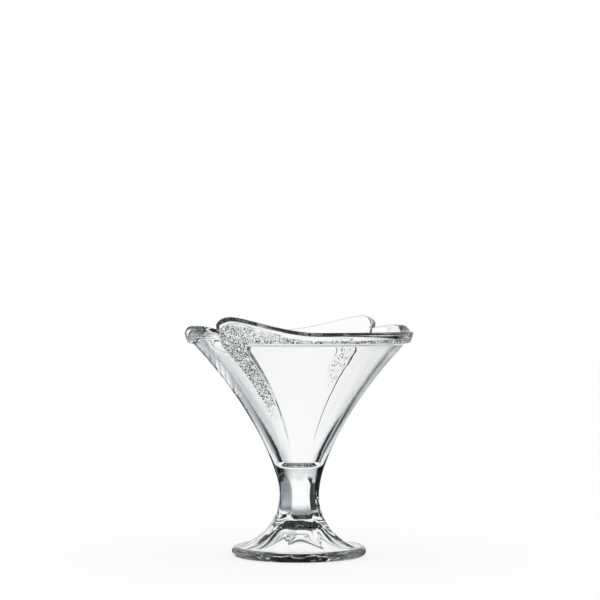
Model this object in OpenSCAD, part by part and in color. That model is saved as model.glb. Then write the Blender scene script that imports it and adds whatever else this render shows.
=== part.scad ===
// Footed dessert glass: a round foot, a panelled stem and a flared bowl
// of two petals, each of which laps over the tail of the other.
// Millimetres, Z up. The origin is the centre of the foot, on the table.

/* [Foot] */
// Diameter of the foot
foot_d = 67; // [62:0.5:74]
// Thickness of the rounded edge of the foot
foot_edge = 4.8; // [4:0.2:5.6]
// Height of the foot, from the table to its joint with the stem
foot_h = 19; // [18:0.5:22]
// Diameter of the hollow under the foot, at the table
hollow_d = 52; // [44:0.5:56]
// Height of the hollow under the foot
hollow_h = 16; // [14:0.5:16.5]
// Radius of the dome that closes the hollow
dome_r = 13.7; // [12:0.1:15]
// Length over which the side of the dome flares out to the table
dome_lead = 7; // [5:0.5:8]
// Width of the foot's rim outside the ends of the stem's ridges
ridge_in = 3.1; // [2.9:0.1:5]
// Width of the foot's rim outside the ends of the stem's flats
flat_in = 6.2; // [5.7:0.1:8]

/* [Stem] */
// Width of the stem across two flats, at the waist
stem_w = 19.3; // [17:0.1:24]
// Height of the stem, from the foot to the base of the bowl
stem_h = 23; // [21:0.5:32]
// Height of the waist above the joint with the foot
waist_up = 11; // [9:0.5:13]
// Number of flats round the stem
panel_n = 8; // [6:1:10]
// Turn of the flats about the axis, in degrees
panel_turn = 6; // [0:0.5:20]
// How far the ridges between the flats stand out at the waist
ridge_proud = 0.65; // [0.4:0.05:0.8]
// Radius of the stem's sweep above the waist
sweep_up = 42; // [38:1:60]

/* [Bowl] */
// Height of the base of the bowl, from the stem to the petals
base_h = 10.5; // [9:0.5:14]
// Height above the stem at which its sweep turns into the flare of the bowl
turn_up = 2; // [1:0.5:4]
// Thickness of glass under the floor of the bowl
floor_t = 3; // [2:0.5:3.5]
// Radius of the rounded corner round the floor
floor_round = 3.5; // [2.5:0.5:4]
// Outside diameter of the bowl, just under the rim band
bowl_d = 105.8; // [98:0.2:112]
// Height of the petals from the base of the bowl to the rim band
panel_h = 53.2; // [48:0.2:60]
// Wall thickness where the petals start
wall_low = 5.2; // [4.4:0.1:6]
// Wall thickness just under the rim band
wall_top = 2.3; // [2:0.1:3.4]

/* [Rim] */
// Thickness of the rounded rim
rim_t = 4.2; // [3.4:0.1:5]
// Height of the rim band where the rim is lowest
band_h = 6.2; // [5.4:0.2:8]
// How far the rim band stands out from the bowl
band_proud = 2.7; // [1.8:0.1:3]
// How far the rim band leans out, from its foot to where the rim is lowest
band_lean_w = 2.05; // [1:0.05:2.8]
// Rise of the rim at the leading corner of a petal
corner_rise = 7.5; // [4:0.1:10]
// Rise of the rim at the tail of a petal
tail_rise = 3; // [2:0.1:4]
// Rise of the rim where a tail runs under the next petal
tail_end = 1.4; // [0.6:0.1:2]

/* [Petals] */
// Direction of the front petal's leading edge at the rim, in degrees
edge_dir = 226; // [180:1:270]
// How far the edges swirl between the base and the rim band, in degrees
swirl = 13.5; // [0:0.5:25]
// Width of the raised band along the leading edge, in degrees
lead_a = 15.6; // [10:0.2:20]
// Height of the leading edge over the tail that it laps, half way up
lap = 1.5; // [1:0.1:2]
// Height of the smooth panel over the tail, beside the leading edge
panel_rise = 0.9; // [0.5:0.1:1]
// Width of the eased step between the raised bands and the panel
step_w = 1.2; // [1:0.1:2]
// Radius of the panel's corner, between the two raised bands
panel_round = 4; // [2:0.5:6]

/* [Hidden] */

$fn = 96;
tiny = 0.01;

// Levels, each stacked on the one below
z_stem = foot_h;
z_waist = foot_h + waist_up;
z_base = foot_h + stem_h;
z_floor = z_base + floor_t;
z_turn = z_base + turn_up;
z_petal = z_base + base_h;
z_band = z_petal + panel_h;
z_rim = z_band + band_h;

// The flats are cut to this half width; the ridges keep a little more
flat_r = stem_w / 2;
ridge_r = flat_r + ridge_proud;

// Reach of a round sweep of radius s at a height d from the waist
function sweep(s, d) = s - sqrt(s * s - d * d);

// Radius of a sweep that reaches out by r at a height d from the waist
function sweep_to(r, d) = (d * d + r * r) / (2 * r);

// Each flat runs out where the stem turns round: just under its top and on the foot
up_d = z_base - z_waist;
low_d = z_waist - foot_edge;
run_out = 0.1;
r_top = ridge_r + sweep(sweep_up, up_d);
flat_up = sweep_to(r_top + run_out - flat_r, up_d);
r_run_out = foot_d / 2 - ridge_in;
flat_low = sweep_to(foot_d / 2 - flat_in - flat_r, low_d);
ridge_low = sweep_to(r_run_out - ridge_r, low_d);

// The bowl's outside follows the stem's sweep, then leaves it as a parabola
turn_d = z_turn - z_waist;
r_turn = ridge_r + sweep(sweep_up, turn_d);
flare_s = turn_d / sqrt(sweep_up * sweep_up - turn_d * turn_d);
flare_h = z_band - z_turn;
flare_k = (bowl_d / 2 - r_turn - flare_s * flare_h) / (flare_h * flare_h);
function flare(z) =
  let (up = z - z_turn)
  up < 0
  ? ridge_r + sweep(sweep_up, z - z_waist)
  : r_turn + flare_s * up + flare_k * up * up;
function flare_slope(z) = flare_s + 2 * flare_k * (z - z_turn);

// The inside keeps the wall, measured square to the outside
function share(z) = (z - z_petal) / panel_h;
function wall(z) = wall_low + (wall_top - wall_low) * max(share(z), 0);
function inside(z) = flare(z) - wall(z) * sqrt(1 + pow(flare_slope(z), 2));

function unit(x) = min(max(x, 0), 1);
function ease(x) = let (c = unit(x)) c * c * (3 - 2 * c);
function bezier(a, b, c, t) = (1 - t) * (1 - t) * a + 2 * t * (1 - t) * b + t * t * c;

// Petals. The angle a runs from a leading edge round to the tail at 180.
corner_a = 10.5;
corner_end_a = 54;
corner_bias = 0.8;
tail_a = 141;
tail_top_a = 158;
tail_fall_a = 166;
taper_a = 143;
taper_span_a = 30;
edge_a = 1.6;
seam_a = 0.4;
bead_r = rim_t / 2;
taper_up = band_h + bead_r;

// Height of the rim
function corner(a) =
  a < corner_a
  ? tail_end + (corner_rise - tail_end) * sqrt(1 - pow(1 - unit(a / corner_a), 2))
  : corner_rise * (1 - ease(pow(unit((a - corner_a) / (corner_end_a - corner_a)), corner_bias)));
function tail(a) =
  tail_rise * ease((a - tail_a) / (tail_top_a - tail_a))
  - (tail_rise - tail_end) * ease((a - tail_fall_a) / (180 - tail_fall_a));
function rim(a) = z_rim + (a < 90 ? corner(a) : tail(a));

// Lower border of the rim band, which tapers out along the tail
function band_low(a) = z_band + taper_up * ease((a - taper_a) / taper_span_a);

// The bowl turns steeper at the rim band, with an eased change of slope
turn_w = 0.08 * band_h;
turn_ratio = 30;
function upright(z) = bowl_d / 2 + band_lean_w * (z - z_band) / band_h;
function shell(z) =
  let (d = (flare(z) - upright(z)) / turn_w)
  d > turn_ratio ? upright(z) : flare(z) - turn_w * ln(1 + exp(d));

// Raised bands: distance into the panel's rounded outline, then an eased step
function into(a, z) =
  let (x = panel_round - (a - lead_a) * flare(min(z, z_band)) * PI / 180)
  let (y = panel_round - (band_low(a) - z))
  norm([max(x, 0), max(y, 0)]) + min(max(x, y), 0) - panel_round;
function raised(a, z) = ease((into(a, z) + step_w / 2) / step_w);

// Relief over the bowl: a slope from edge to tail, and the raised bands on it
rise_share = 0.35;
function rise(z) = ease(share(z) / rise_share);
function slope_off(a, z) = panel_rise * rise(z) * (1 - unit(a / 180));
function band_off(z) = rise(z) * (lap + (band_proud - lap) * ease(2 * share(z) - 1));
function edge(a) = sqrt(1 - pow(1 - unit(a / edge_a), 2));
function relief(a, z) =
  let (s = slope_off(a, z))
  edge(a) * (s + (band_off(z) - s) * raised(a, z));
function outside(a, z) = shell(z) + relief(a, z);

// Rows of one column, from the joint up to the start of the round rim
panel_rows = 9;
step_rows = 4;
band_rows = 3;
bead_rows = 2;
function row_z(a) =
  let (top = rim(a) - bead_r)
  let (low = min(band_low(a), top - 2 * step_w) - step_w / 2)
  let (high = low + step_w)
  concat(
    [for (k = [0:panel_rows]) z_petal + (low - z_petal) * k / panel_rows],
    [for (k = [1:step_rows]) low + step_w * k / step_rows],
    [for (k = [1:band_rows]) high + (top - high) * k / band_rows]
  );
rows = panel_rows + step_rows + band_rows + 1;
side = rows + bead_rows;
loop = 2 * side + 1;

// Inside of the petal: the bowl's inside, led on to the inner edge of the rim
function inner(a, z) =
  let (top = rim(a) - bead_r)
  let (r_rim = outside(a, top) - rim_t)
  let (d = top - z_band)
  let (s = flare_slope(z_band))
  let (q = (r_rim - inside(z_band) - s * d) / (d * d))
  let (up = z - z_band)
  up < 0 ? inside(z) : inside(z_band) + s * up + q * up * up;

// The edges swirl below the rim band and stand upright in it
swirl_power = 1.2;
function turn(a, z) = edge_dir + a + swirl * (1 - pow(unit(share(z)), swirl_power));
function at(a, r, z) = [r * cos(turn(a, z)), r * sin(turn(a, z)), z];

// One column: up the outside, over the round rim and down the inside
function column(a) =
  let (zs = row_z(a))
  let (top = zs[rows - 1])
  let (mid = outside(a, top) - bead_r)
  let (bend = [for (k = [1:bead_rows]) 90 * k / (bead_rows + 1)])
  concat(
    [for (z = zs) at(a, outside(a, z), z)],
    [for (b = bend) at(a, mid + bead_r * cos(b), top + bead_r * sin(b))],
    [at(a, mid, top + bead_r)],
    [for (k = [bead_rows - 1:-1:0])
      at(a, mid - bead_r * cos(bend[k]), top + bead_r * sin(bend[k]))],
    [for (k = [rows - 1:-1:0]) at(a, inner(a, zs[k]), zs[k])]
  );

// Columns are close at the leading edge, at the panel's border and at the tail
edge_cols = 4;
lead_cols = 4;
border_cols = 4;
panel_cols = 24;
tail_cols = 11;
border_a = 1.2;
panel_a = lead_a + border_a;
columns = concat(
  [-seam_a],
  [for (k = [0:edge_cols]) edge_a * pow(k / edge_cols, 2)],
  [for (k = [1:lead_cols]) edge_a + (lead_a - border_a - edge_a) * k / lead_cols],
  [for (k = [1:border_cols]) lead_a - border_a + 2 * border_a * k / border_cols],
  [for (k = [1:panel_cols]) panel_a + (taper_a - panel_a) * k / panel_cols],
  [for (k = [1:tail_cols]) taper_a + (180 - seam_a - taper_a) * k / tail_cols]
);
// A petal starts on the tail's own section, so the two ends meet face to face
function section(k) = k == 0 ? 180 - seam_a : columns[k];
function section_turn(k) = k == 0 ? -180 : 0;
function spin(p, a) = [p[0] * cos(a) - p[1] * sin(a), p[0] * sin(a) + p[1] * cos(a), p[2]];

module petal() {
  last = len(columns) - 1;
  points = [
    for (k = [0:last])
      for (p = column(section(k))) spin(p, section_turn(k))
  ];
  skin = [
    for (k = [0:last - 1])
      for (j = [0:loop - 1])
        let (m = (j + 1) % loop)
        let (p = k * loop + j)
        let (q = k * loop + m)
        each [[p, q, p + loop], [q, q + loop, p + loop]]
  ];
  rungs = [
    for (j = [0:side - 2])
      let (m = loop - 1 - j)
      each [[j, m, j + 1], [j + 1, m, m - 1]]
  ];
  crown = [[side - 1, side + 1, side]];
  start = concat(rungs, crown);
  end = [for (f = start) [f[0] + last * loop, f[2] + last * loop, f[1] + last * loop]];
  polyhedron(points = points, faces = concat(skin, start, end), convexity = 6);
}

// Half profile of the stem's ridges, with the sweeps above and below the waist
module ridge_profile(z0, z1) {
  difference() {
    translate([0, z0]) square([r_run_out, z1 - z0]);
    sweep_profile(ridge_r, ridge_low, sweep_up);
  }
}

// Outline of what a sweep takes away, from the waist down and from it up.
// The lower part runs a little over the waist, so that the two parts lap.
module sweep_profile(r, low, up) {
  over = 0.5;
  intersection() {
    translate([r + low, z_waist]) circle(low);
    translate([r, z_waist - low]) square([low, low + over]);
  }
  intersection() {
    translate([r + up, z_waist]) circle(up);
    translate([r, z_waist]) square([up, up]);
  }
}

// Cutters for the flats, one for each side of the stem
module flats() {
  width = foot_d;
  for (k = [0:panel_n - 1])
    rotate([0, 0, panel_turn - 90 + k * 360 / panel_n])
      translate([0, width / 2, 0])
        rotate([90, 0, 0])
          linear_extrude(width) sweep_profile(flat_r, flat_low, flat_up);
}

// Outline of the hollow under the foot: a dome that flares out, down past the table
dome_a = 55;
module hollow_profile() {
  steps = 8;
  past = 1;
  wide = [hollow_d / 2, 0];
  dome = [
    for (k = [0:steps])
      let (a = dome_a * (1 - k / steps))
      [dome_r * sin(a), hollow_h - dome_r * (1 - cos(a))]
  ];
  bend = dome[0] + dome_lead * [cos(dome_a), -sin(dome_a)];
  flare_line = [for (k = [0:steps - 1]) bezier(wide, bend, dome[0], k / steps)];
  polygon(concat([[0, -past], [hollow_d / 2, -past]], flare_line, dome));
}

module foot() {
  edge_r = foot_edge / 2;
  color([0.93, 0.96, 0.97, 0.5])
  difference() {
    union() {
      difference() {
        rotate_extrude() ridge_profile(foot_edge - tiny, z_stem);
        flats();
      }
      rotate_extrude() {
        square([foot_d / 2 - edge_r, foot_edge]);
        translate([foot_d / 2 - edge_r, edge_r]) circle(edge_r);
      }
    }
    rotate_extrude() hollow_profile();
  }
}

module stem() {
  color([0.9, 0.94, 0.96, 0.5])
  difference() {
    rotate_extrude() ridge_profile(z_stem, z_base);
    flats();
  }
}

module bowl_base() {
  steps = 6;
  z_wall = z_floor + floor_round;
  wall_slope = (inside(z_wall) - inside(z_wall - tiny)) / tiny;
  foot_r = inside(z_wall) - wall_slope * floor_round;
  a = [inside(z_wall), z_wall];
  b = [foot_r, z_floor];
  c = [foot_r - floor_round, z_floor];
  outer = [
    for (k = [0:steps])
      let (z = z_base + base_h * k / steps) [flare(z), z]
  ];
  inner_wall = [
    for (k = [0:steps - 1])
      let (z = z_petal + (z_wall - z_petal) * k / steps) [inside(z), z]
  ];
  corner_line = [for (k = [0:steps]) bezier(a, b, c, k / steps)];
  color([0.92, 0.95, 0.97, 0.5])
  rotate_extrude()
    polygon(concat([[0, z_base]], outer, inner_wall, corner_line, [[0, z_floor]]));
}

module front_petal() {
  color([0.95, 0.97, 0.98, 0.5]) petal();
}

module back_petal() {
  color([0.88, 0.93, 0.95, 0.5]) rotate([0, 0, 180]) petal();
}

foot();
stem();
bowl_base();
front_petal();
back_petal();
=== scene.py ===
import math

import bpy
import numpy as np
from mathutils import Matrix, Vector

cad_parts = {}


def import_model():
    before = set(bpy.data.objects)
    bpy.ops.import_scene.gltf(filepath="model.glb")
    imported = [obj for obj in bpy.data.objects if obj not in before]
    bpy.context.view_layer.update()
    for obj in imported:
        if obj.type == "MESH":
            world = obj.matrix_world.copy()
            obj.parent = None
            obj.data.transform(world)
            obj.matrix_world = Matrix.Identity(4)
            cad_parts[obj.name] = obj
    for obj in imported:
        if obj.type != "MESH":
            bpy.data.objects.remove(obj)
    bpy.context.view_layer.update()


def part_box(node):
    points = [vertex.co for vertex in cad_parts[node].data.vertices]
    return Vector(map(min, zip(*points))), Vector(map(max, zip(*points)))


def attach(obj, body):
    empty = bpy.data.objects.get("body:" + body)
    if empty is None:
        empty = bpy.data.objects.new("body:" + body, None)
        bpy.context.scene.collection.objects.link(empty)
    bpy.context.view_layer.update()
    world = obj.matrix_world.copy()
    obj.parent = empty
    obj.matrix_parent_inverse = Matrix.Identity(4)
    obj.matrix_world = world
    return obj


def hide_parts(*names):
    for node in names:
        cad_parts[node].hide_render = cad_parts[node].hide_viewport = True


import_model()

# Sizes are in millimetres and angles in degrees, as in the part's drawing. MM turns them to metres.
MM = 0.001


def level(node):
    """Height of a node's upper end, from the frame."""
    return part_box(node)[1].z / MM


# Levels and outer sizes from the frame
z_stem = level("foot")
z_base = level("stem")
z_petal = level("bowl_base")
foot_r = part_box("foot")[1].x / MM

# Foot and stem
foot_edge = 4.8
hollow_r, hollow_h = 26.0, 16.0
dome_r, dome_a, dome_lead = 13.7, 55.0, 7.0
flat_r, ridge_proud = 9.65, 0.65
ridge_foot_r, flat_foot_r = 30.4, 27.3
waist_up, sweep_up, turn_up = 11.0, 42.0, 14.0
panel_n, panel_turn = 8, 6.0
ridge_soft = 0.12
waist_blend = 9.0

# Bowl
floor_t, floor_round = 3.0, 3.5
bowl_r, panel_h = 52.9, 53.2
wall_low, wall_top = 5.2, 2.3

# Rim: its radii, the band below it, its rise at a petal's corner and tail, and the band's end at the tail
rim_out_r, rim_in_r = 0.9, 4.6
band_h, band_proud, band_lean = 6.2, 2.7, 0.33
corner_rise, tail_rise, tail_end = 7.5, 3.0, 1.4
corner_a, corner_end, corner_bias = 10.5, 54.0, 0.8
tail_a, tail_top, tail_fall = 141.0, 158.0, 166.0
taper_a, taper_w, taper_up = 143.0, 25.0, 3.2
sink_a, sink_w = 164.0, 15.0

# Petals: direction and swirl of their edges, heights of the laps, widths of steps and soft turns
edge_dir, swirl, swirl_bias = 226.0, 13.5, 1.2
lead_a, edge_a, seam_a = 15.6, 1.6, 0.4
lap, panel_lap, lap_share = 1.5, 0.9, 0.35
step_w, panel_round, turn_w, turn_in_w = 1.2, 4.0, 0.5, 0.6

# Slopes are taken over a short height, and the rim's inner turn settles in some passes
probe, rim_passes = 0.01, 30

# Levels and curves that follow from these
z_floor = z_base + floor_t
z_band = z_petal + panel_h
z_rim = z_band + band_h
ridge_r = flat_r + ridge_proud
z_waist = z_stem + waist_up
z_turn = z_waist + turn_up
up_d = z_base - z_waist
low_d = z_waist - foot_edge


def sweep(s, d):
    """Reach of a round sweep of radius s at a height d from the waist."""
    return s - np.sqrt(s * s - d * d)


def sweep_to(r, d):
    """Radius of a sweep that reaches out by r at a height d from the waist."""
    return (d * d + r * r) / (2 * r)


r_top = ridge_r + sweep(sweep_up, up_d)
r_turn = ridge_r + sweep(sweep_up, turn_up)
ridge_low = sweep_to(ridge_foot_r - ridge_r, low_d)
flat_up = sweep_to(r_top - flat_r, up_d)
flat_low = sweep_to(flat_foot_r - flat_r, low_d)
flare_s = turn_up / math.sqrt(sweep_up**2 - turn_up**2)
flare_h = z_band - z_turn
flare_k = (bowl_r - r_turn - flare_s * flare_h) / flare_h**2


def unit(x):
    return np.clip(x, 0.0, 1.0)


def ease(x):
    """A soft step from 0 to 1 while x goes from 0 to 1."""
    c = unit(x)
    return c * c * (3 - 2 * c)


def bezier(a, b, c, t):
    t = np.asarray(t)[:, None]
    return (1 - t) ** 2 * np.array(a) + 2 * t * (1 - t) * np.array(b) + t**2 * np.array(c)


def flare(z):
    """Outside of the bowl: the stem's sweep, which runs on into a parabola."""
    up = np.maximum(z - z_turn, 0)
    low = sweep(sweep_up, np.minimum(z, z_turn) - z_waist)
    return ridge_r + low + flare_s * up + flare_k * up**2


def flare_slope(z):
    return flare_s + 2 * flare_k * (z - z_turn)


def share(z):
    """Height in the petals: 0 at the base, 1 at the foot of the rim band."""
    return (z - z_petal) / panel_h


def inside(z):
    """Inside of the bowl, a wall's thickness from the flare."""
    wall = wall_low + (wall_top - wall_low) * np.maximum(share(z), 0)
    return flare(z) - wall * np.sqrt(1 + flare_slope(z) ** 2)


def rim(a):
    """Height of the rim, at the angle a from a petal's leading edge."""
    rising = tail_end + (corner_rise - tail_end) * np.sqrt(1 - (1 - unit(a / corner_a)) ** 2)
    fall = unit((a - corner_a) / (corner_end - corner_a)) ** corner_bias
    corner = np.where(a < corner_a, rising, corner_rise * (1 - ease(fall)))
    tail = tail_rise * ease((a - tail_a) / (tail_top - tail_a))
    tail = tail - (tail_rise - tail_end) * ease((a - tail_fall) / (180 - tail_fall))
    return z_rim + np.where(a < 90, corner, tail)


def band_low(a):
    """Lower border of the rim band, which narrows along the tail."""
    return z_band + taper_up * ease((a - taper_a) / taper_w)


def shell(z):
    """Outside of the bowl without relief: the flare, which turns steeper at the rim band."""
    upright = bowl_r + band_lean * (z - z_band)
    return flare(z) - turn_w * np.logaddexp(0, (flare(z) - upright) / turn_w)


def into(a, z):
    """Distance from the smooth panel's rounded outline into the raised bands."""
    x = panel_round - np.radians(a - lead_a) * flare(np.minimum(z, z_band))
    y = panel_round - (band_low(a) - z)
    out = np.hypot(np.maximum(x, 0), np.maximum(y, 0))
    return out + np.minimum(np.maximum(x, y), 0) - panel_round


def relief(a, z):
    """Height over the shell: a slope from edge to tail, with the raised bands on it."""
    rise = ease(share(z) / lap_share)
    slope = panel_lap * rise * (1 - unit(a / 180))
    band = rise * (lap + (band_proud - lap) * ease(2 * share(z) - 1))
    edge = np.sqrt(1 - (1 - unit(a / edge_a)) ** 2)
    proud = (band - slope) * (1 - ease((a - sink_a) / sink_w))
    return edge * (slope + proud * ease(into(a, z) / step_w + 0.5))


def outside(a, z):
    return shell(z) + relief(a, z)


def inner(z, line, bend=0.0):
    """Inside of a petal: the bowl's inside, which turns steeper to run up parallel to the rim band.
    The line is the radius of that upper part at the band's foot."""
    up = np.maximum(z - z_band, 0)
    led = np.where(z < z_band, inside(z), inside(z_band) + flare_slope(z_band) * up)
    upright = line + band_lean * (z - z_band)
    return led - turn_in_w * np.logaddexp(0, (led - upright) / turn_in_w) + bend * up * up


def round_rim(a):
    """The round rim at the angle a: the radius of its crest, the turns at which it leaves the outside
    and meets the inside, and the line and bend of the inside that lead to it."""
    z = rim(a)
    lean = np.arctan((outside(a, z) - outside(a, z - rim_out_r)) / rim_out_r)
    r = outside(a, z - rim_out_r * (1 + np.sin(lean))) - rim_out_r * np.cos(lean)
    meet = np.full_like(z, math.atan(band_lean))
    line = r - rim_in_r * np.cos(meet) - band_lean * (z - rim_in_r * (1 - np.sin(meet)) - z_band)
    for _ in range(rim_passes):
        low = z - rim_in_r * (1 - np.sin(meet))
        d = low - z_band
        slope = (inner(low, line) - inner(low - probe, line)) / probe
        bend = (r - rim_in_r * np.cos(meet) - inner(low, line)) / (d * d)
        meet = (meet + np.arctan(np.maximum(slope + 2 * bend * d, 0))) / 2
    return r, lean, meet, line, bend


def at(a, r, z):
    """Points at the angle a of a petal, with the edges' swirl below the rim band."""
    t = np.radians(edge_dir + a + swirl * (1 - unit(share(z)) ** swirl_bias))
    return np.stack(np.broadcast_arrays(r * np.cos(t), r * np.sin(t), z), -1)


# Stipple: small domes on a jittered lattice over the raised bands. They fade out towards the panel,
# the leading edge, the rim and the base, and are fainter on the tail and on the back petal.
stipple_pitch, stipple_h, dome_reach = 0.8, 0.03, 0.62
panel_margin, edge_margin, border_fade = 0.6, 0.2, 0.5
rim_margin, rim_fade = 3.7, 0.4
base_margin, base_fade = 12.0, 24.0
faint_a, faint_w, tail_left, back_left = 148.0, 12.0, 0.25, 0.25
lattice_rows, lattice_cols, lattice_seed, jitter = 64, 512, 7, (0.2, 0.8)
lattice = np.random.default_rng(lattice_seed).uniform(*jitter, (lattice_rows, lattice_cols, 2))


def stipple_mask(a, z):
    """1 on the stippled part of the bands, 0 on their smooth borders, the rim and the panel."""
    from_panel = ease((into(a, z) - panel_margin) / border_fade)
    from_edge = ease((np.radians(a - edge_a) * shell(z) - edge_margin) / border_fade)
    from_rim = ease((rim(a) - rim_margin - z) / rim_fade)
    from_base = ease((z - z_petal - base_margin) / base_fade)
    on_tail = 1 - (1 - tail_left) * ease((a - faint_a) / faint_w)
    return from_panel * from_edge * from_rim * from_base * on_tail


def stipple(a, z):
    """Height of the domes: each point takes the highest of those round it."""
    s = np.radians(a) * shell(z) / stipple_pitch
    t = z / stipple_pitch
    i, j = np.floor(s).astype(int), np.floor(t).astype(int)
    best = np.zeros_like(s)
    for di in (-1, 0, 1):
        for dj in (-1, 0, 1):
            p = lattice[(j + dj) % lattice_rows, (i + di) % lattice_cols]
            d = np.hypot(i + di + p[..., 0] - s, j + dj + p[..., 1] - t)
            best = np.maximum(best, 1 - (d / dome_reach) ** 2)
    return stipple_h * best


class Mesh:
    """Collects points and faces of one closed piece; faces are glass or fused."""

    GLASS, FUSED = 0, 1
    # Points nearer than this, in metres, become one
    WELD = 1e-7

    def __init__(self):
        self.points, self.masks, self.faces, self.kinds, self.count = [], [], [], [], 0

    def add(self, points, mask=0.0):
        """Adds points of any array shape and returns their numbers in the same shape."""
        shape = points.shape[:-1]
        n = int(np.prod(shape))
        ids = np.arange(self.count, self.count + n).reshape(shape)
        self.points.append(points.reshape(-1, 3))
        self.masks.append(np.broadcast_to(mask, shape).reshape(-1))
        self.count += n
        return ids

    def face(self, ids, kind=GLASS):
        self.faces += [tuple(int(k) for k in f) for f in ids]
        self.kinds += [kind] * len(ids)

    def grid(self, ids, kind=GLASS):
        """Quads between the rows of ids; seen with rows going up and columns to the left they face out."""
        a, b, c, d = ids[:-1, :-1], ids[:-1, 1:], ids[1:, 1:], ids[1:, :-1]
        self.face(np.stack([a, b, c, d], -1).reshape(-1, 4), kind)

    def bridge(self, left, right, s, t, kind=GLASS):
        """Triangles between two chains of points, matched by their parameters s and t."""
        i = j = 0
        made = []
        while i < len(left) - 1 or j < len(right) - 1:
            ahead_l = s[i + 1] if i < len(left) - 1 else np.inf
            ahead_r = t[j + 1] if j < len(right) - 1 else np.inf
            if ahead_l <= ahead_r:
                made.append((left[i], right[j], left[i + 1]))
                i += 1
            else:
                made.append((left[i], right[j], right[j + 1]))
                j += 1
        self.face(made, kind)

    def build(self, name, materials):
        """Makes the object, with neighbouring patches welded and the fused faces' borders sharp."""
        points = np.concatenate(self.points) * MM
        keys = np.round(points / self.WELD).astype(np.int64)
        _, first, number = np.unique(keys, axis=0, return_index=True, return_inverse=True)
        number = number.reshape(-1)
        faces, kinds = [], []
        for f, kind in zip(self.faces, self.kinds):
            welded = list(dict.fromkeys(int(number[k]) for k in f))
            if len(welded) > 2:
                faces.append(welded)
                kinds.append(kind)
        mesh = bpy.data.meshes.new(name)
        mesh.from_pydata(points[first].tolist(), [], faces)
        for m in materials:
            mesh.materials.append(m)
        mesh.polygons.foreach_set("material_index", kinds)
        mesh.polygons.foreach_set("use_smooth", [True] * len(faces))
        mesh.update()
        sides = {}
        for f, kind in zip(faces, kinds):
            for p, q in zip(f, f[1:] + f[:1]):
                sides.setdefault((min(p, q), max(p, q)), set()).add(kind)
        ends = np.zeros(len(mesh.edges) * 2, np.int64)
        mesh.edges.foreach_get("vertices", ends)
        sharp = [len(sides[(min(e), max(e))]) > 1 for e in ends.reshape(-1, 2).tolist()]
        mesh.edges.foreach_set("use_edge_sharp", sharp)
        masks = np.concatenate(self.masks)[first].astype(np.float32)
        mesh.attributes.new("stipple", "FLOAT", "POINT")
        mesh.attributes["stipple"].data.foreach_set("value", masks)
        mesh.update()
        obj = bpy.data.objects.new(name, mesh)
        bpy.context.scene.collection.objects.link(obj)
        return obj


# Fineness: the finest spacing, how many fine steps make a coarse one, and numbers of points in a row
fine = 0.24
coarse_rows, coarse_cols, inner_cols = 3, 5, 4
rim_out_n, rim_in_n, band_n, inner_n = 8, 14, 45, 61
around_n, stem_n, flank_n, edge_n, hollow_n = 289, 70, 60, 25, 30
base_n, corner_n, wall_n = 24, 20, 12
# The fine patches reach past the bands, over the steps to the panel
lead_margin, band_margin = 2.4, 2.0


def spaced(low, high, step, multiple=1):
    """Evenly spaced values about step apart, with a number of gaps that is a multiple."""
    n = multiple * max(1, round((high - low) / step / multiple))
    return np.linspace(low, high, n + 1)


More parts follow.
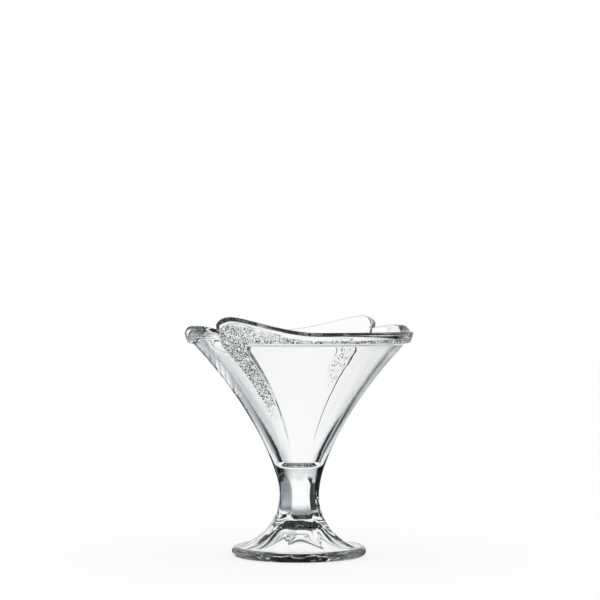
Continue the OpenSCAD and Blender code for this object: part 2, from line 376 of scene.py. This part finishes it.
def petal(name, spin, stippled, materials):
    """One petal: fine patches where there is stipple, coarse ones on the smooth panel and inside."""
    m = Mesh()
    step_deg = math.degrees(fine / (bowl_r + band_proud))
    a_lead = lead_a + lead_margin
    first = spaced(-seam_a, a_lead, step_deg)
    rest = spaced(a_lead, 180 - seam_a, step_deg, coarse_cols * inner_cols)[1:]
    cols = np.concatenate([first, rest])
    # The first column repeats the tail's own section, so that the petals' ends meet
    section = cols.copy()
    section[0] = 180 - seam_a
    offset = np.where(np.arange(len(cols)) == 0, -180.0, 0.0)
    z_low = z_band - band_margin

    def put(a, off, r, z):
        p = at(a, r, z)
        c, s = np.cos(np.radians(off + spin)), np.sin(np.radians(off + spin))
        return np.stack([p[..., 0] * c - p[..., 1] * s, p[..., 0] * s + p[..., 1] * c, p[..., 2]], -1)

    def skin(k, z):
        """Points of the outside in the columns k, with their share of stipple."""
        z = np.broadcast_to(z, (z.shape[0], len(k)))
        a = np.broadcast_to(section[k], z.shape)
        mask = stippled * stipple_mask(a, z)
        return put(a, offset[k][None, :], outside(a, z) + stipple(a, z) * mask, z), mask

    # Outside: leading band, smooth panel, rim band
    zs = spaced(z_petal, z_low, fine, coarse_rows)
    lead = m.add(*skin(np.arange(len(first)), zs[:, None]))
    m.grid(lead)
    z_wide = zs[::coarse_rows][:-1]
    wide_k = np.arange(len(first) - 1, len(cols), coarse_cols)[1:]
    wide = m.add(*skin(wide_k, z_wide[:, None]))
    m.grid(wide)
    crest_r, lean, meet, line, bend = round_rim(section)
    crest_z = rim(section)
    top = crest_z - rim_out_r * (1 + np.sin(lean))
    band_z = z_low + (top - z_low)[None, :] * np.linspace(0, 1, band_n)[:, None]
    band = m.add(*skin(np.arange(len(cols)), band_z))
    m.grid(band)
    # The strip between the fine patches and the panel runs up the leading band and along the rim band
    turn_at = (len(zs) - 1) / coarse_rows
    fine_chain = np.concatenate([lead[:, -1], band[0, len(first):]])
    fine_at = np.concatenate(
        [np.arange(len(zs)) / coarse_rows, turn_at + np.arange(1, len(rest) + 1) / coarse_cols]
    )
    wide_chain = np.concatenate([wide[:, 0], wide[-1, 1:]])
    wide_at = np.concatenate(
        [np.arange(len(z_wide) - 1), [turn_at], turn_at + np.arange(2, len(wide_k) + 1)]
    )
    m.bridge(fine_chain, wide_chain, fine_at, wide_at)
    # Round rim
    over_out = np.linspace(-lean, math.pi / 2, rim_out_n)
    over_in = np.linspace(math.pi / 2, math.pi - meet, rim_in_n)[1:]
    bead_r = crest_r + np.concatenate([rim_out_r * np.cos(over_out), rim_in_r * np.cos(over_in)])
    bead_z = crest_z - np.concatenate(
        [rim_out_r * (1 - np.sin(over_out)), rim_in_r * (1 - np.sin(over_in))]
    )
    bead = m.add(put(section[None, :], offset[None, :], bead_r, bead_z))
    m.grid(bead)
    # Inside
    in_k = np.append(np.arange(0, len(cols) - 1, inner_cols), len(cols) - 1)
    top_in = bead_z[-1, in_k][None, :]
    z_in = top_in + (z_petal - top_in) * np.linspace(0, 1, inner_n)[1:, None]
    r_in = inner(z_in, line[in_k][None, :], bend[in_k][None, :])
    face = m.add(put(section[in_k][None, :], offset[in_k][None, :], r_in, z_in))
    m.grid(face)
    m.bridge(face[0], bead[-1], cols[in_k], cols)
    # Fused faces: the joint with the base and the two ends
    low_out, low_at = np.concatenate([lead[0], wide[0]]), np.concatenate([first, cols[wide_k]])
    m.bridge(low_out, face[-1], low_at, cols[in_k], Mesh.FUSED)
    start_out = np.concatenate([lead[:, 0], band[1:, 0]])
    start_z = np.concatenate([zs, band_z[1:, 0]])
    end_out = np.concatenate([wide[:, -1], band[:, -1]])
    end_z = np.concatenate([z_wide, band_z[:, -1]])
    for out, out_z, k in ((start_out, start_z, 0), (end_out, end_z, -1)):
        over, over_z = bead[1:, k], bead_z[1:, k]
        half = rim_out_n - 1
        in_side = np.concatenate([face[::-1, k], over[half:][::-1]])
        in_side_z = np.concatenate([z_in[::-1, k], over_z[half:][::-1]])
        out_side = np.concatenate([out, over[:half]])
        out_side_z = np.concatenate([out_z, over_z[:half]])
        if k == 0:
            m.bridge(in_side, out_side, in_side_z, out_side_z, Mesh.FUSED)
        else:
            m.bridge(out_side, in_side, out_side_z, in_side_z, Mesh.FUSED)
    return m.build(name, materials)


around = np.linspace(0, 360, around_n)


def ring(r, z):
    """Points round the axis at the height z and the radius r, which may differ from angle to angle."""
    t = np.radians(around)
    return np.stack(np.broadcast_arrays(r * np.cos(t), r * np.sin(t), z), -1)


def turned(m, line, kind=Mesh.GLASS):
    """A patch round the axis through rings with the radii and heights of a line."""
    m.grid(m.add(np.array([ring(r, z) for r, z in line])), kind)


def disc(m, r, z, up):
    """A flat fused face across the axis."""
    edge = m.add(ring(r, z)[:-1])
    centre = m.add(np.array([[0.0, 0.0, z]]))[0]
    after = np.roll(edge, -1)
    pair = (edge, after) if up else (after, edge)
    m.face(np.stack([np.full(len(edge), centre), *pair], -1), Mesh.FUSED)


def stem_radius(z):
    """Radius of the stem and of the foot's trumpet, with the flats cut between soft ridges."""
    d = np.asarray(z)[:, None] - z_waist
    up = ease(d / (2 * waist_blend) + 0.5)
    round_r = ridge_r + sweep(ridge_low + (sweep_up - ridge_low) * up, d)
    flat = flat_r + sweep(flat_low + (flat_up - flat_low) * up, d)
    pitch = 360 / panel_n
    phi = (around[None, :] + 90 - panel_turn + pitch / 2) % pitch - pitch / 2
    cut = np.maximum(round_r - flat / np.cos(np.radians(phi)), 0)
    return round_r - cut * cut / (cut + ridge_soft)


def stem(name, materials):
    """The waisted column with its flats."""
    m = Mesh()
    z = np.linspace(z_stem, z_base, stem_n)
    r = stem_radius(z)
    turned(m, zip(r, z))
    disc(m, r[0], z_stem, False)
    disc(m, r[-1], z_base, True)
    return m.build(name, materials)


def foot(name, materials):
    """The trumpet with the ends of the flats, the disc's round edge, and the hollow underneath."""
    m = Mesh()
    flank = np.linspace(z_stem, foot_edge, flank_n)
    r = stem_radius(flank)
    turned(m, zip(r[::-1], flank[::-1]))
    edge_r = foot_edge / 2
    bend = np.linspace(math.pi / 2, -math.pi / 2, edge_n)
    edge = np.stack([foot_r - edge_r + edge_r * np.cos(bend), edge_r + edge_r * np.sin(bend)], -1)
    a = np.radians(dome_a * np.linspace(1, 0, hollow_n))
    dome = np.stack([dome_r * np.sin(a), hollow_h - dome_r * (1 - np.cos(a))], -1)
    lead = dome[0] + dome_lead * np.array([math.cos(a[0]), -math.sin(a[0])])
    hollow = bezier((hollow_r, 0), lead, dome[0], np.linspace(0, 1, hollow_n))
    line = [(r[-1], foot_edge), *edge, *hollow, *dome[1:]]
    turned(m, line[::-1])
    disc(m, r[0], z_stem, True)
    return m.build(name, materials)


def bowl_base(name, materials):
    """The bottom of the bowl, with a round corner between its wall and its floor."""
    m = Mesh()
    z_wall = z_floor + floor_round
    slope = (inside(z_wall) - inside(z_wall - probe)) / probe
    r_floor = inside(z_wall) - slope * floor_round
    out_z = np.linspace(z_base, z_petal, base_n)
    turned(m, zip(flare(out_z), out_z))
    wall_z = np.linspace(z_petal, z_wall, wall_n)
    wall = np.stack([inside(wall_z), wall_z], -1)
    ends = (inside(z_wall), z_wall), (r_floor, z_floor), (r_floor - floor_round, z_floor)
    corner = bezier(*ends, np.linspace(0, 1, corner_n))
    turned(m, [*wall, *corner[1:], (0.0, z_floor)])
    turned(m, [(flare(z_petal), z_petal), (inside(z_petal), z_petal)], Mesh.FUSED)
    disc(m, flare(z_base), z_base, False)
    return m.build(name, materials)


# Studio: a white floor and surround. Through the glass the surround is white only in some
# directions, with dark between them, as between the white panels of a glass photographer.
# The tables give a brightness for each turn from straight behind, in degrees, right positive.
# EL is an angle of fall or rise in degrees, and D, X, Y and UP are metres. A pair of them is
# where a soft step starts and ends, and four are the limits of a soft window. DARK is the
# brightness that is left in the dark.
# Rays through the solid stem and foot, or through one wall
SOLID_STOPS = (
    (-180, 0.01), (-104, 0.01), (-98, 1), (-82, 1), (-76, 0.01), (-34, 0.01), (-28, 0.11), (-26.5, 0.05),
    (-17, 0.05), (-15, 0.8), (-13, 1), (10, 1), (14, 0.88), (18, 0.6), (22, 0.48), (25, 0.29), (28, 0.25),
    (34, 0.3), (40, 0.08), (60, 0.01), (180, 0.01),
)
SOLID_RISING_STOPS = (
    (-180, 0.01), (-104, 0.01), (-98, 1), (-82, 1), (-76, 0.01), (-40, 0.01), (-36, 0.6), (-30, 0.85),
    (-12, 1), (10, 1), (20, 0.7), (27, 0.29), (31, 0.02), (180, 0.01),
)
SOLID_RISING_EL = (9.0, 13.0)
SOLID_EL_STOPS = (
    (-90, 0.6), (-18, 0.72), (-14, 0.8), (-9, 1), (17, 1), (22, 0.8), (26, 0.55), (30, 0.4), (34, 0.28),
    (90, 0.2),
)
SOLID_FAR_D, SOLID_FAR_EL = (0.10, 0.15), (38.0, 44.0)
DIAGONALS, DIAGONAL_W, DIAGONAL_EL = (-45.0, 135.0), (7.0, 10.0), (12.0, 15.0, 24.5, 27.0)
# Rays turned back inside a wall
TURNED_STOPS = (
    (-180, 0.01), (-60, 0.01), (-50, 0.03), (-46, 0.1), (-40, 0.25), (-34, 0.45), (-30, 0.55), (-26, 0.6),
    (-18, 0.66), (-10, 0.8), (-6, 0.92), (-2, 1), (2, 1), (6, 0.92), (10, 0.82), (14, 0.72), (18, 0.62),
    (22, 0.5), (26, 0.3), (30, 0.1), (34, 0.05), (38, 0.35), (42, 0.55), (46, 0.4), (50, 0.03), (180, 0.01),
)
RISING_STOPS = (
    (-180, 0.01), (-34, 0.01), (-28, 0.3), (-24, 0.8), (-14, 0.7), (-10, 0.05), (9, 0.03), (12, 0.7),
    (23, 0.8), (28, 0.3), (34, 0.01), (180, 0.01),
)
SHALLOW_EL, RISING_EL = (5.0, 14.0), (8.0, 14.0)
STEEP_TURN, STEEP_EL, STEEP_END = 0.27, (15.0, 20.0), (46.0, 50.0)
# Rays through both walls of the bowl, with the same white for a look across, from either side
WALLS_STOPS = (
    (-180, 0.05), (-150, 0.05), (-120, 0.5), (-105, 1), (-75, 1), (-62, 0.8), (-54, 1), (-40, 1),
    (-32, 0.75), (-18, 0.72), (-14, 0.85), (-10, 0.93), (-6, 1), (40, 1),
    (50, 0.9), (90, 0.5), (110, 0.5), (122, 1), (148, 1), (160, 0.3), (180, 0.05),
)
WALLS_RISING_EL, WALLS_RISING_DARK = (14.0, 20.0), 0.05
WALLS_SIDE_TURN, WALLS_SIDE_EL, WALLS_SIDE_DARK = (27.0, 33.0), (10.0, 14.0), 0.05
WALLS_CROSS_TURN = (66.0, 74.0, 106.0, 114.0)
# Rays after many turns inside a wall, which find an even grey in the end
DEEP_DARK, DEEP_D, DEEP_TURN = 0.012, (0.12, 0.2), (28.0, 36.0, 112.0, 120.0)
DEEP_RIGHT_EL, DEEP_RIGHT_DEPTH = (-30.0, -24.0, 18.0, 24.0), 24.5
DEEP_LEFT_EL, DEEP_LEFT_DEPTH = (-4.0, 0.0, 18.0, 24.0), 6.5
HAZE_DEPTH, HAZE = 30.5, 0.5
# Numbers of steps in a ray's path that tell these kinds apart
SOLID_DEPTH, WALL_DEPTH, DEEP_DEPTH = 2.5, 2.5, 4.5
# Dark parts of the floor: a card behind the glass, a painted shadow in a ring round the foot, what lies
# below the rim at right, and what steep rays meet
CARD_EL, CARD_Y, CARD_X = (23.0, 27.0), (0.09, 0.11), (0.032, 0.048)
# Painted shadow of the foot: where the ring starts and ends, how steeply rays must fall to meet it, and how
# dark it is
FOOT_SHADOW_D, FOOT_SHADOW_EL, FOOT_SHADOW_DARK = (0.036, 0.044), (22.0, 30.0), 0.12
RIM_UP, RIM_DARK = (0.105, 0.111), 0.1
DOWN_EL, DOWN_DARK = (57.0, 61.0), 0.02
# White parts of the floor: below the hollow, and for a look from above, slantwise or straight down
HOLLOW_D = (0.027, 0.033)
SLANT_TURNS = (22.0, 30.0, 60.0, 68.0), (112.0, 120.0, 150.0, 158.0)
SLANT_UP, SLANT_EL = (0.07, 0.085), (7.0, 10.0, 34.0, 40.0)
PLUNGE_UP, PLUNGE_EL = (0.07, 0.085), (54.0, 60.0)
# Sky, tint of the dark, least brightness, and share of plain white in the floor that the camera sees
SKY_EL, OVERHEAD = (30.0, 42.0), 0.6
COOL = (0.86, 1.0, 1.07, 1)
DARK = 0.004
WHITE_SHARE = 0.75


class Nodes:
    """Short hand for a tree of shader nodes."""

    def __init__(self, tree):
        self.nodes, self.links = tree.nodes, tree.links

    def add(self, kind):
        return self.nodes.new("ShaderNode" + kind)

    def put(self, socket, value):
        """Sets a socket to a number or a tuple, or links another socket to it."""
        if isinstance(value, (int, float, tuple)):
            socket.default_value = value
        else:
            self.links.new(value, socket)

    def maths(self, op, *values):
        n = self.add("Math")
        n.operation = op
        for socket, value in zip(n.inputs, values):
            self.put(socket, value)
        return n.outputs[0]

    def vector(self, op, *values):
        n = self.add("VectorMath")
        n.operation = op
        for socket, value in zip(n.inputs, values):
            self.put(socket, value)
        return n.outputs[0]

    def times(self, *values):
        total = values[0]
        for v in values[1:]:
            total = self.maths("MULTIPLY", total, v)
        return total

    def degrees(self, angle):
        return self.maths("MULTIPLY", angle, 180 / math.pi)

    def ramp(self, value, low, high, start=0.0, end=1.0):
        """Eases from start, where the value is low, to end, where it is high."""
        n = self.add("MapRange")
        n.interpolation_type = "SMOOTHSTEP"
        names = "Value", "From Min", "From Max", "To Min", "To Max"
        for name, v in zip(names, (value, low, high, start, end)):
            self.put(n.inputs[name], v)
        return n.outputs[0]

    def between(self, value, low, in_low, in_high, high):
        """1 between the inner limits, falling to 0 at the outer ones."""
        return self.times(self.ramp(value, low, in_low), self.ramp(value, in_high, high, 1, 0))

    def stops(self, angle, table):
        """A value that follows a table of angles and values."""
        first, span = table[0][0], table[-1][0] - table[0][0]
        n = self.add("ValToRGB")
        stops = n.color_ramp.elements
        while len(stops) < len(table):
            stops.new(0.5)
        for stop, (a, v) in zip(stops, table):
            stop.position = (a - first) / span
            stop.color = (v, v, v, 1)
        self.put(n.inputs[0], self.maths("MULTIPLY_ADD", angle, 1 / span, -first / span))
        return n.outputs[0]

    def choose(self, weight, off, on):
        n = self.add("Mix")
        n.data_type = "FLOAT"
        self.put(n.inputs[0], weight)
        self.put(n.inputs[2], off)
        self.put(n.inputs[3], on)
        return n.outputs[0]

    def cool(self, value):
        """White where the value is 1, and a cooler grey the darker it is."""
        n = self.add("Mix")
        n.data_type = "RGBA"
        self.put(n.inputs[0], value)
        self.put(n.inputs[6], COOL)
        self.put(n.inputs[7], (1, 1, 1, 1))
        return n.outputs[2]

    def solid(self, turn, down, up, far):
        """What rays see that only went through the solid stem or foot, or through one wall."""
        lobes = 0.0
        for middle in DIAGONALS:
            off = self.maths("ABSOLUTE", self.maths("SUBTRACT", turn, middle))
            lobes = self.maths("MAXIMUM", lobes, self.ramp(off, *DIAGONAL_W, 1, 0))
        lobes = self.times(lobes, self.between(down, *DIAGONAL_EL))
        falling, rising = self.stops(turn, SOLID_STOPS), self.stops(turn, SOLID_RISING_STOPS)
        seen = self.choose(self.ramp(up, *SOLID_RISING_EL), falling, rising)
        by_fall = self.choose(far, self.stops(down, SOLID_EL_STOPS), 1.0)
        return self.maths("MAXIMUM", self.times(seen, by_fall), lobes)

    def turned_back(self, turn, wide, down, up):
        """What rays see that were turned back inside a wall."""
        shallow = self.choose(self.ramp(down, *SHALLOW_EL), 1.0, self.stops(turn, TURNED_STOPS))
        lean = self.maths("MULTIPLY_ADD", wide, -STEEP_TURN, down)
        fade = self.ramp(down, *STEEP_END, 1, 0)
        steep = self.times(self.ramp(lean, *STEEP_EL), fade)
        falling = self.times(self.maths("MAXIMUM", shallow, steep), fade)
        return self.choose(self.ramp(up, *RISING_EL), falling, self.stops(turn, RISING_STOPS))

    def walls(self, turn, wide, down, up):
        """What rays see that went through both walls of the bowl."""
        ahead = self.ramp(wide, *WALLS_SIDE_TURN, 1, WALLS_SIDE_DARK)
        seen = self.times(
            self.stops(turn, WALLS_STOPS),
            self.ramp(up, *WALLS_RISING_EL, 1, WALLS_RISING_DARK),
            self.maths("MAXIMUM", ahead, self.ramp(down, *WALLS_SIDE_EL)),
        )
        return self.maths("MAXIMUM", seen, self.between(wide, *WALLS_CROSS_TURN))

    def deep(self, turn, wide, down, depth):
        """What rays see after many turns inside a wall."""
        late = self.maths("GREATER_THAN", depth, DEEP_RIGHT_DEPTH)
        early = self.maths("LESS_THAN", depth, DEEP_LEFT_DEPTH)
        right = self.times(self.between(down, *DEEP_RIGHT_EL), late)
        left = self.times(self.between(down, *DEEP_LEFT_EL), early)
        side = self.choose(self.maths("GREATER_THAN", turn, 0), left, right)
        return self.maths("MAXIMUM", self.times(self.between(wide, *DEEP_TURN), side), DEEP_DARK)

    def surround(self, x, y, down, path, depth, far=0.0):
        """Brightness of the surround for a ray in the direction x, y that falls by down degrees,
        and whether it went through both walls."""
        turn = self.degrees(self.maths("ARCTAN2", x, y))
        wide = self.maths("ABSOLUTE", turn)
        up = self.maths("MULTIPLY", down, -1)
        through_walls = self.maths("GREATER_THAN", path["Transmission Depth"], WALL_DEPTH)
        is_turned = self.maths("GREATER_THAN", depth, SOLID_DEPTH)
        is_deep = self.maths("GREATER_THAN", depth, DEEP_DEPTH)
        seen = self.choose(
            is_turned, self.solid(turn, down, up, far), self.turned_back(turn, wide, down, up)
        )
        seen = self.choose(through_walls, seen, self.walls(turn, wide, down, up))
        return self.choose(is_deep, seen, self.deep(turn, wide, down, depth)), through_walls

    def shine(self, kind, path, depth, seen):
        """An emitter that is white to the camera and shows the surround to rays from the glass,
        with a socket that is 1 for those rays."""
        seen = self.choose(self.maths("GREATER_THAN", depth, HAZE_DEPTH), seen, HAZE)
        glass_ray = self.maths("MAXIMUM", path["Is Glossy Ray"], path["Is Transmission Ray"])
        strength = self.choose(glass_ray, 1.0, self.maths("MULTIPLY_ADD", seen, 1 - DARK, DARK))
        emitter = self.add(kind)
        self.put(emitter.inputs["Strength"], strength)
        self.put(emitter.inputs["Color"], self.cool(strength))
        return emitter.outputs[0], glass_ray


# Glass: size and tilt of the stipple's facets, the faint waviness, and the steps of a ray's path at
# which it meets facets behind one wall and after which it meets no waviness
grain_pitch, grain_tilt = 0.45 * MM, 2.2
wave_pitch, wave_h = 12.0 * MM, 0.05 * MM
behind_depth, wave_depth = 3, 3.5
glass_tint, glass_shine, glass_ior = (0.996, 1.0, 1.0, 1), (0.3, 0.3, 0.3, 1), 1.5


def glass_material():
    """Clear glass with a fine grain on the stipple and a faint waviness all over."""
    mat = bpy.data.materials.new("clear_glass")
    mat.use_nodes = True
    t = Nodes(mat.node_tree)
    shader = t.nodes["Principled BSDF"]
    place = t.add("TexCoord").outputs["Object"]
    depth = t.add("LightPath").outputs["Ray Depth"]
    wave = t.add("TexNoise")
    t.put(wave.inputs["Vector"], place)
    t.put(wave.inputs["Scale"], 1 / wave_pitch)
    swell = t.add("Bump")
    t.put(swell.inputs["Distance"], wave_h)
    t.put(swell.inputs["Height"], t.times(wave.outputs[0], t.maths("LESS_THAN", depth, wave_depth)))
    cells = t.add("TexVoronoi")
    cells.feature = "F1"
    t.put(cells.inputs["Vector"], place)
    t.put(cells.inputs["Scale"], 1 / grain_pitch)
    mask = t.add("Attribute")
    mask.attribute_name = "stipple"
    # Only rays that come from outside, straight or through one wall, meet the facets
    met = t.maths(
        "MAXIMUM", t.maths("LESS_THAN", depth, 0.5), t.maths("COMPARE", depth, behind_depth, 0.5)
    )
    tilt = t.add("VectorMath")
    tilt.operation = "SCALE"
    t.put(tilt.inputs[0], t.vector("SUBTRACT", cells.outputs["Color"], (0.5, 0.5, 0.5)))
    t.put(tilt.inputs["Scale"], t.times(mask.outputs["Fac"], met, grain_tilt))
    facet = t.vector("NORMALIZE", t.vector("ADD", swell.outputs[0], tilt.outputs[0]))
    t.put(shader.inputs["Normal"], facet)
    shader.inputs["Base Color"].default_value = glass_tint
    shader.inputs["Roughness"].default_value = 0.0
    shader.inputs["IOR"].default_value = glass_ior
    shader.inputs["Transmission Weight"].default_value = 1.0
    shader.inputs["Specular Tint"].default_value = glass_shine
    return mat


def fused_material():
    """Nothing to see: for the faces where one piece of glass runs on into the next."""
    mat = bpy.data.materials.new("fused_joint")
    mat.use_nodes = True
    t = Nodes(mat.node_tree)
    t.nodes.remove(t.nodes["Principled BSDF"])
    t.put(t.nodes["Material Output"].inputs["Surface"], t.add("BsdfTransparent").outputs[0])
    return mat


materials = [glass_material(), fused_material()]
pieces = {
    "foot": foot("glass_foot", materials),
    "stem": stem("glass_stem", materials),
    "bowl_base": bowl_base("glass_bowl_base", materials),
    "front_petal": petal("glass_front_petal", 0.0, 1.0, materials),
    "back_petal": petal("glass_back_petal", 180.0, back_left, materials),
}
for node, piece in pieces.items():
    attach(piece, "root")
    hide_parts(node)


def floor_seen(t, path):
    """Brightness of the floor for rays from the glass, by where and how steeply they meet it."""
    split = t.add("SeparateXYZ")
    t.put(split.inputs[0], t.add("NewGeometry").outputs["Position"])
    x, y = split.outputs[0], split.outputs[1]
    depth = path["Ray Depth"]
    # Layer Weight's Facing is 1 less the sine of the angle at which a ray comes down
    down_sine = t.maths("SUBTRACT", 1, t.add("LayerWeight").outputs["Facing"])
    down = t.degrees(t.maths("ARCSINE", down_sine))
    reach = t.maths("SQRT", t.maths("ADD", t.times(x, x), t.times(y, y)))
    # The height at which a ray left the axis, if it came from there
    fall_z = t.times(reach, t.maths("TANGENT", t.maths("RADIANS", down)))
    far = t.times(t.ramp(reach, *SOLID_FAR_D), t.ramp(down, *SOLID_FAR_EL, 1, 0))
    seen, through_walls = t.surround(x, y, down, path, depth, far)
    card = t.times(
        t.ramp(down, *CARD_EL),
        t.ramp(y, *CARD_Y),
        t.ramp(t.maths("ABSOLUTE", x), *CARD_X, 1, 0),
        through_walls,
    )
    # Painted shadow: the floor that rays from the glass see is darker in a ring just round the foot, for
    # rays that fall steeply
    painted_foot_shadow = t.times(t.ramp(reach, *FOOT_SHADOW_D, 1 - FOOT_SHADOW_DARK, 0), t.ramp(down, *FOOT_SHADOW_EL))
    # Turned-back rays that fall from the height of the rim, at right, find no white
    below_rim = t.times(
        t.ramp(fall_z, *RIM_UP, 0, 1 - RIM_DARK),
        t.maths("GREATER_THAN", x, 0),
        t.maths("SUBTRACT", 1, through_walls),
        t.maths("GREATER_THAN", depth, SOLID_DEPTH),
    )
    is_deep = t.maths("GREATER_THAN", depth, DEEP_DEPTH)
    near = t.times(is_deep, t.ramp(reach, *DEEP_D, 1 - DEEP_DARK, 0))
    for dark in (card, painted_foot_shadow, below_rim, near):
        seen = t.times(seen, t.maths("SUBTRACT", 1, dark))
    wide = t.maths("ABSOLUTE", t.degrees(t.maths("ARCTAN2", x, y)))
    slant = t.times(
        t.maths("MAXIMUM", *(t.between(wide, *turns) for turns in SLANT_TURNS)),
        t.ramp(fall_z, *SLANT_UP),
        t.between(down, *SLANT_EL),
        t.maths("LESS_THAN", depth, SOLID_DEPTH),
    )
    seen = t.maths("MAXIMUM", t.maths("MAXIMUM", seen, slant), t.ramp(reach, *HOLLOW_D, 1, 0))
    seen = t.times(seen, t.ramp(down, *DOWN_EL, 1, DOWN_DARK))
    # A look straight down finds white by rays that were only refracted
    mirrored = t.maths("SUBTRACT", depth, path["Transmission Depth"])
    only_refracted = t.maths("LESS_THAN", mirrored, 0.5)
    plunge = t.times(t.ramp(down, *PLUNGE_EL), t.ramp(fall_z, *PLUNGE_UP), only_refracted)
    return t.maths("MAXIMUM", seen, plunge)


floor_r, floor_sides, floor_gap = 4.0, 96, 0.0001


def floor():
    """A pale round floor that keeps the shadow, and that rays from the glass see by floor_seen."""
    bpy.ops.mesh.primitive_circle_add(
        vertices=floor_sides, radius=floor_r, fill_type="NGON", location=(0, 0, -floor_gap)
    )
    obj = bpy.context.object
    obj.name = "floor"
    mat = bpy.data.materials.new("floor")
    mat.use_nodes = True
    t = Nodes(mat.node_tree)
    shader = t.nodes["Principled BSDF"]
    shader.inputs["Base Color"].default_value = (1, 1, 1, 1)
    shader.inputs["Roughness"].default_value = 0.9
    shader.inputs["Specular IOR Level"].default_value = 0.0
    path = t.add("LightPath").outputs
    glow, glass_ray = t.shine("Emission", path, path["Ray Depth"], floor_seen(t, path))
    mix = t.add("MixShader")
    t.put(mix.inputs[0], t.maths("MAXIMUM", glass_ray, t.times(path["Is Camera Ray"], WHITE_SHARE)))
    t.put(mix.inputs[1], shader.outputs[0])
    t.put(mix.inputs[2], glow)
    t.put(t.nodes["Material Output"].inputs["Surface"], mix.outputs[0])
    obj.data.materials.append(mat)


def world():
    """A white world, which rays from the glass see as the surround."""
    w = bpy.data.worlds.new("studio")
    bpy.context.scene.world = w
    w.use_nodes = True
    t = Nodes(w.node_tree)
    t.nodes.clear()
    split = t.add("SeparateXYZ")
    t.put(split.inputs[0], t.add("TexCoord").outputs["Generated"])
    x, y, z = split.outputs
    path = t.add("LightPath").outputs
    # The world counts its own surface as one more step of a ray
    depth = t.maths("SUBTRACT", path["Ray Depth"], 1)
    down = t.degrees(t.maths("ARCSINE", t.maths("MULTIPLY", z, -1)))
    around_glass, _ = t.surround(x, y, down, path, depth)
    low, high = (math.sin(math.radians(a)) for a in SKY_EL)
    over = t.choose(path["Is Transmission Ray"], OVERHEAD, 0.0)
    back, _ = t.shine("Background", path, depth, t.choose(t.ramp(z, low, high), around_glass, over))
    t.put(t.add("OutputWorld").inputs["Surface"], back)


floor()
world()

# The photograph: half a millimetre to the pixel at the axis, level, from about a metre
PX = 0.5 * MM
camera_z, camera_d = 127.5 * MM, 1.05
frame_px, axis_px = 600, 299.0
cam = bpy.data.cameras.new("camera")
cam.sensor_width = 36.0
cam.lens = cam.sensor_width * camera_d / (frame_px * PX)
cam.shift_x = (frame_px / 2 - axis_px) / frame_px
camera = bpy.data.objects.new("camera", cam)
camera.location = (0, -camera_d, camera_z)
camera.rotation_euler = (math.pi / 2, 0, 0)
scene = bpy.context.scene
scene.collection.objects.link(camera)
scene.camera = camera

# Light runs a long way inside the walls
bounces = 48
scene.cycles.max_bounces = bounces
scene.cycles.transmission_bounces = bounces
scene.cycles.glossy_bounces = bounces
scene.cycles.transparent_max_bounces = bounces
scene.view_settings.view_transform = "Standard"
